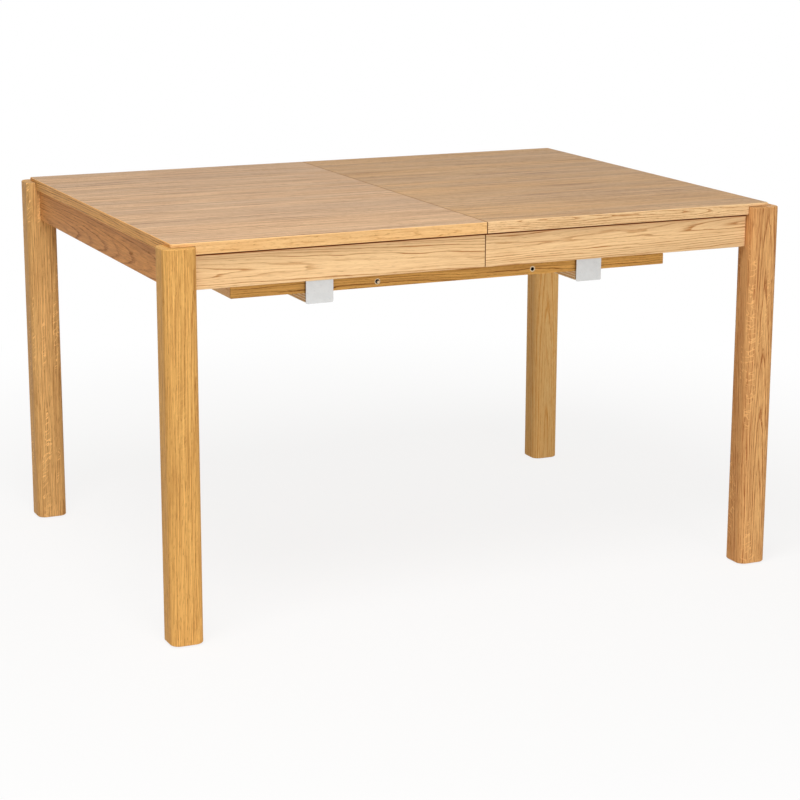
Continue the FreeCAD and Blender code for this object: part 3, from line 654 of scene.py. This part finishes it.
def dress_inner_wood():
    beech = wood(
        RUNNER_BEECH, ALONG, (0.0, 0.5, 0.4), ring=0.005, wander=0.01, contrast=0.3, fibre=0.3, pores=0.35)
    runner = oiled("runner beech", beech)
    for face in ("front", "back"):
        paint(runner, "left_" + face + "_runner", "right_" + face + "_runner", face + "_middle_runner")
    dowel = wood(
        DOWEL_BEECH, ALONG, (0.0, 0.3, 0.5), ring=0.003, wander=0.004, contrast=0.3, fibre=0.3)
    paint(oiled("dowel beech", dowel), "left_apron_dowels", "right_apron_dowels", "stop_pegs")
    batten_low, batten_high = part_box("left_leaf_batten")
    plies = {
        "Ply Thickness": (batten_high.z - batten_low.z) / ply_count,
        "Long Grain": PLY_LONG_GRAIN, "End Grain": PLY_END_GRAIN}
    plywood = oiled("plywood", Look(PLY_LAYERS, plies, (0.0, 0.0, batten_low.z)))
    paint(plywood, "left_leaf_batten", "right_leaf_batten")


def dress_plugs():
    nickel = metal(NICKEL, roughness=0.35, brushing=0.05)
    leaf_plugs = plug_middle("leaf_bushes", 0), (1.0, 0.0, 1.0)
    seam_plugs = plug_middle("left_seam_bush", 1), (0.0, 1.0, 1.0)
    # Rings of painted shade in the bores and round the pins
    bore_shade_ring = 0.0, bore_radius + rim_shade
    pin_shade_ring = pin_radius, pin_radius + pin_shade
    paint(plug_metal("leaf bush nickel", nickel, *leaf_plugs, *bore_shade_ring), "leaf_bushes")
    paint(plug_metal("leaf pin nickel", nickel, *leaf_plugs, *pin_shade_ring), "leaf_pins")
    seam_bush = plug_metal("seam bush nickel", nickel, *seam_plugs, *bore_shade_ring)
    seam_pin = plug_metal("seam pin nickel", nickel, *seam_plugs, *pin_shade_ring)
    paint(seam_bush, "left_seam_bush", "right_seam_bush")
    paint(seam_pin, "left_seam_pin", "right_seam_pin")


def dress_fittings():
    """Paints the plates, brackets, bolts, latch and glides, and gives the zinc for the screws."""
    zinc = bare_metal("zinc plating", metal(ZINC, roughness=0.32, brushing=0.08))
    plate = bare_metal("hanger plate", metal(PLATE_STEEL, roughness=0.56, brushing=0.05))
    glide = moulded("glide nylon", BROWN_NYLON, roughness=0.5)
    for side in ("left_", "right_"):
        paint(plate, side + "front_leaf_hanger", side + "back_leaf_hanger")
        paint(zinc, side + "corner_brackets", side + "leg_bolts", side + "leg_nuts", side + "top_angles")
        paint(glide, side + "leg_glides")
    paint(zinc, "seam_latch_hook", "seam_latch_pivot", "seam_latch_stud")
    return zinc


def slotted_screw(graph, given):
    """A pan head screw with a point and a cross slot, its head standing on the origin."""
    head_radius, head_height = given["Head Radius"], given["Head Height"]
    wall = graph.math("MULTIPLY", head_height, head_wall)
    crown_radius = graph.math("MULTIPLY", head_radius, head_crown)
    crown_height = graph.math("SUBTRACT", head_height, wall)
    straight_length = graph.math("SUBTRACT", given["Shank Length"], given["Point Length"])
    straight_bottom = graph.math("MULTIPLY", straight_length, -1.0)
    point_bottom = graph.math("MULTIPLY", given["Shank Length"], -1.0)
    solid = graph.joined(
        graph.rod(head_radius, wall, 0.0),
        graph.taper(crown_radius, head_radius, crown_height, wall),
        graph.rod(given["Shank Radius"], straight_length, straight_bottom),
        graph.taper(given["Shank Radius"], given["Point Radius"], given["Point Length"], point_bottom))

    # The slot's bars stand half out of the crown
    bar_height = graph.math("MULTIPLY", given["Slot Depth"], 2.0)
    bar_size = graph.from_axes({0: given["Slot Length"], 1: given["Slot Width"], 2: bar_height})
    bar = graph.raised(graph.add("GeometryNodeMeshCube", {"Size": bar_size}).outputs[0], head_height)
    turned = {"Geometry": bar, "Rotation": (0.0, 0.0, quarter_turn)}
    crossbar = graph.add("GeometryNodeTransform", turned).outputs[0]
    return graph.cut(solid, graph.joined(bar, crossbar))


def screw_tree(zinc):
    """Sets a screw on each seat, along the seat's axis, with its slot turned by chance."""
    titles = (
        "Shank Radius", "Shank Length", "Head Radius", "Head Height", "Point Length", "Point Radius",
        "Slot Length", "Slot Width", "Slot Depth")
    inputs = [("Seats", "NodeSocketGeometry")] + [(title, "NodeSocketFloat") for title in titles]
    graph, given, result = new_group(
        "cross slot screw", inputs, [("Screws", "NodeSocketGeometry")], "GeometryNodeTree", SolidGraph)
    screw = slotted_screw(graph, given)

    axis = graph.add("GeometryNodeInputNamedAttribute", {"Name": "seat_axis"}, data_type="FLOAT_VECTOR")
    upright = graph.add("FunctionNodeAlignRotationToVector", {"Vector": axis.outputs[0]}, axis="Z")
    limits = {"Min": 0.0, "Max": quarter_turn, "Seed": screw_seed}
    chance = graph.add("FunctionNodeRandomValue", limits, data_type="FLOAT")
    angle = [output for output in chance.outputs if output.enabled][0]
    turn = graph.add("FunctionNodeAxisAngleToRotation", {"Axis": (0.0, 0.0, 1.0), "Angle": angle})
    both = {"Rotation": upright.outputs[0], "Rotate By": turn.outputs[0]}
    turned = graph.add("FunctionNodeRotateRotation", both, rotation_space="LOCAL").outputs[0]
    placed = graph.add(
        "GeometryNodeInstanceOnPoints", {"Points": given["Seats"], "Instance": screw, "Rotation": turned})
    real = graph.add("GeometryNodeRealizeInstances", {"Geometry": placed.outputs[0]}).outputs[0]
    plated = graph.add("GeometryNodeSetMaterial", {"Geometry": real, "Material": zinc}).outputs[0]
    graph.put(result["Screws"], plated)
    return graph.tree


def loose_solids(node):
    """The corners of each solid in a node, found by walking along its edges."""
    shape = bmesh.new()
    shape.from_mesh(nodes[node].data)
    bmesh.ops.remove_doubles(shape, verts=shape.verts, dist=weld_distance)
    waiting = set(shape.verts)
    solids = []
    while waiting:
        corners, ahead = [], [waiting.pop()]
        while ahead:
            corner = ahead.pop()
            corners.append(corner.co.copy())
            beside = waiting.intersection(link.other_vert(corner) for link in corner.link_edges)
            waiting -= beside
            ahead.extend(beside)
        solids.append(corners)
    shape.free()
    return solids


def screw_seats(node, head_height):
    """The point under each screw's head and the direction out of the wood, sorted by place."""
    seats = []
    for corners in loose_solids(node):
        low = Vector(min(corner[i] for corner in corners) for i in range(3))
        high = Vector(max(corner[i] for corner in corners) for i in range(3))
        size, middle = high - low, (low + high) / 2
        run = max(range(3), key=lambda i: size[i])
        reach = {}
        for end in (low[run], high[run]):
            near = [corner for corner in corners if abs(corner[run] - end) < head_height / 2]
            reach[end] = max((corner - middle).length for corner in near)
        outward = Vector((0.0, 0.0, 0.0))
        outward[run] = 1.0 if reach[high[run]] > reach[low[run]] else -1.0
        seat = middle.copy()
        seat[run] = (high[run] - head_height) if outward[run] > 0 else (low[run] + head_height)
        seats.append((seat, outward))
    return sorted(seats, key=lambda item: tuple(round(value, 5) for value in item[0]))


def add_object(name, data):
    thing = bpy.data.objects.new(name, data)
    bpy.context.scene.collection.objects.link(thing)
    return thing


def add_screws(tree, node, body, sizes):
    shank_radius, shank_length, head_radius, head_height = sizes
    seats = screw_seats(node, head_height)
    mesh = bpy.data.meshes.new(node + "_seats")
    mesh.from_pydata([tuple(seat) for seat, outward in seats], [], [])
    directions = mesh.attributes.new("seat_axis", "FLOAT_VECTOR", "POINT")
    for row, (seat, outward) in zip(directions.data, seats):
        row.vector = outward
    screws = add_object(node + "_slotted", mesh)
    setter = screws.modifiers.new("screws", "NODES")
    setter.node_group = tree
    values = {
        "Shank Radius": shank_radius, "Shank Length": shank_length,
        "Head Radius": head_radius, "Head Height": head_height,
        "Point Length": screw_point_length, "Point Radius": screw_point_radius,
        "Slot Length": head_radius * slot_length, "Slot Width": head_radius * slot_width,
        "Slot Depth": head_height * slot_depth}
    for item in tree.interface.items_tree:
        if item.in_out == "INPUT" and item.name in values:
            setter[item.identifier] = values[item.name]
    ready = screws.evaluated_get(bpy.context.evaluated_depsgraph_get())
    made = bpy.data.meshes.new_from_object(ready)
    screws.modifiers.clear()
    screws.data = made
    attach(screws, body)
    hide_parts(node)


def add_lamp(name, place, size, power, target):
    light = bpy.data.lights.new(name, "AREA")
    light.shape = "DISK"
    light.size = size
    light.energy = power
    lamp = add_object(name, light)
    lamp.location = place
    lamp.rotation_mode = "QUATERNION"
    lamp.rotation_quaternion = (target - place).to_track_quat("-Z", "Y")


def seen_directly(graph):
    """1 for what the camera sees, straight or in a mirror or glass, and 0 for light that bounces."""
    path = graph.add("ShaderNodeLightPath").outputs
    mirrored = graph.math("MAXIMUM", path["Is Glossy Ray"], path["Is Transmission Ray"])
    return graph.math("MAXIMUM", path["Is Camera Ray"], mirrored)


def pale_floor():
    """A floor that is white apart from a faint shadow, and clear where the camera looks up through it."""
    material = bpy.data.materials.new("pale floor")
    graph = fresh_graph(material)
    seen = seen_directly(graph)
    matt = graph.add("ShaderNodeBsdfDiffuse", {"Color": graph.blend(seen, floor_colour, WHITE)})
    white = graph.add("ShaderNodeEmission", {"Color": WHITE, "Strength": 1.0})
    place = graph.add("ShaderNodeTexCoord").outputs["Object"]
    bright = graph.remap(graph.length(place), *shadow_reach, 1.0 - shadow_share, 1.0)
    share = graph.math("MULTIPLY", seen, bright)
    mixed = graph.add("ShaderNodeMixShader", {0: share, 1: matt.outputs[0], 2: white.outputs[0]})
    below = graph.add("ShaderNodeNewGeometry").outputs["Backfacing"]
    seen_below = graph.math("MULTIPLY", below, graph.add("ShaderNodeLightPath").outputs["Is Camera Ray"])
    clear = graph.add("ShaderNodeBsdfTransparent")
    one_sided = graph.add("ShaderNodeMixShader", {0: seen_below, 1: mixed.outputs[0], 2: clear.outputs[0]})
    output = graph.add("ShaderNodeOutputMaterial")
    graph.put(output.inputs["Surface"], one_sided.outputs[0])
    return material


def add_floor():
    mesh = bpy.data.meshes.new("floor")
    corners = [(x * floor_half, y * floor_half, -floor_drop) for x, y in ((-1, -1), (1, -1), (1, 1), (-1, 1))]
    mesh.from_pydata(corners, [], [(0, 1, 2, 3)])
    mesh.materials.append(pale_floor())
    floor = add_object("floor", mesh)


def add_sky():
    world = bpy.data.worlds.new("white studio")
    graph = fresh_graph(world)
    soft = graph.add("ShaderNodeBackground", {"Color": sky_colour, "Strength": sky_strength})
    white = graph.add("ShaderNodeBackground", {"Color": WHITE, "Strength": 1.0})
    mixed = graph.add(
        "ShaderNodeMixShader", {0: seen_directly(graph), 1: soft.outputs[0], 2: white.outputs[0]})
    output = graph.add("ShaderNodeOutputWorld")
    graph.put(output.inputs["Surface"], mixed.outputs[0])
    bpy.context.scene.world = world


def add_camera():
    ahead = Vector((
        math.sin(camera_yaw) * math.cos(camera_pitch),
        math.cos(camera_yaw) * math.cos(camera_pitch),
        -math.sin(camera_pitch)))
    level = Vector((math.cos(camera_yaw), -math.sin(camera_yaw), 0.0))
    upward = level.cross(ahead)
    right = level * math.cos(camera_roll) + upward * math.sin(camera_roll)
    up = upward * math.cos(camera_roll) - level * math.sin(camera_roll)
    lens = bpy.data.cameras.new("camera")
    lens.sensor_width = sensor_width
    lens.lens = focal_pixels / picture_size * sensor_width
    camera = add_object("camera", lens)
    camera.location = camera_place
    camera.rotation_mode = "QUATERNION"
    camera.rotation_quaternion = Matrix((right, up, -ahead)).transposed().to_quaternion()
    bpy.context.scene.camera = camera


dress_tops()
dress_aprons()
dress_legs()
dress_leaf()
dress_inner_wood()
dress_plugs()
zinc_plating = dress_fittings()
screws_on_seats = screw_tree(zinc_plating)
add_screws(screws_on_seats, "hanger_screws", "carriage", hanger_screw)
for half in ("left", "right"):
    add_screws(screws_on_seats, half + "_frame_screws", half + "_half", frame_screw)
    add_screws(screws_on_seats, half + "_runner_screws", half + "_half", runner_screw)
add_floor()
add_sky()
for lamp in lamps:
    add_lamp(*lamp, (cad_low + cad_high) / 2)
add_camera()
bpy.context.scene.view_settings.view_transform = "Standard"
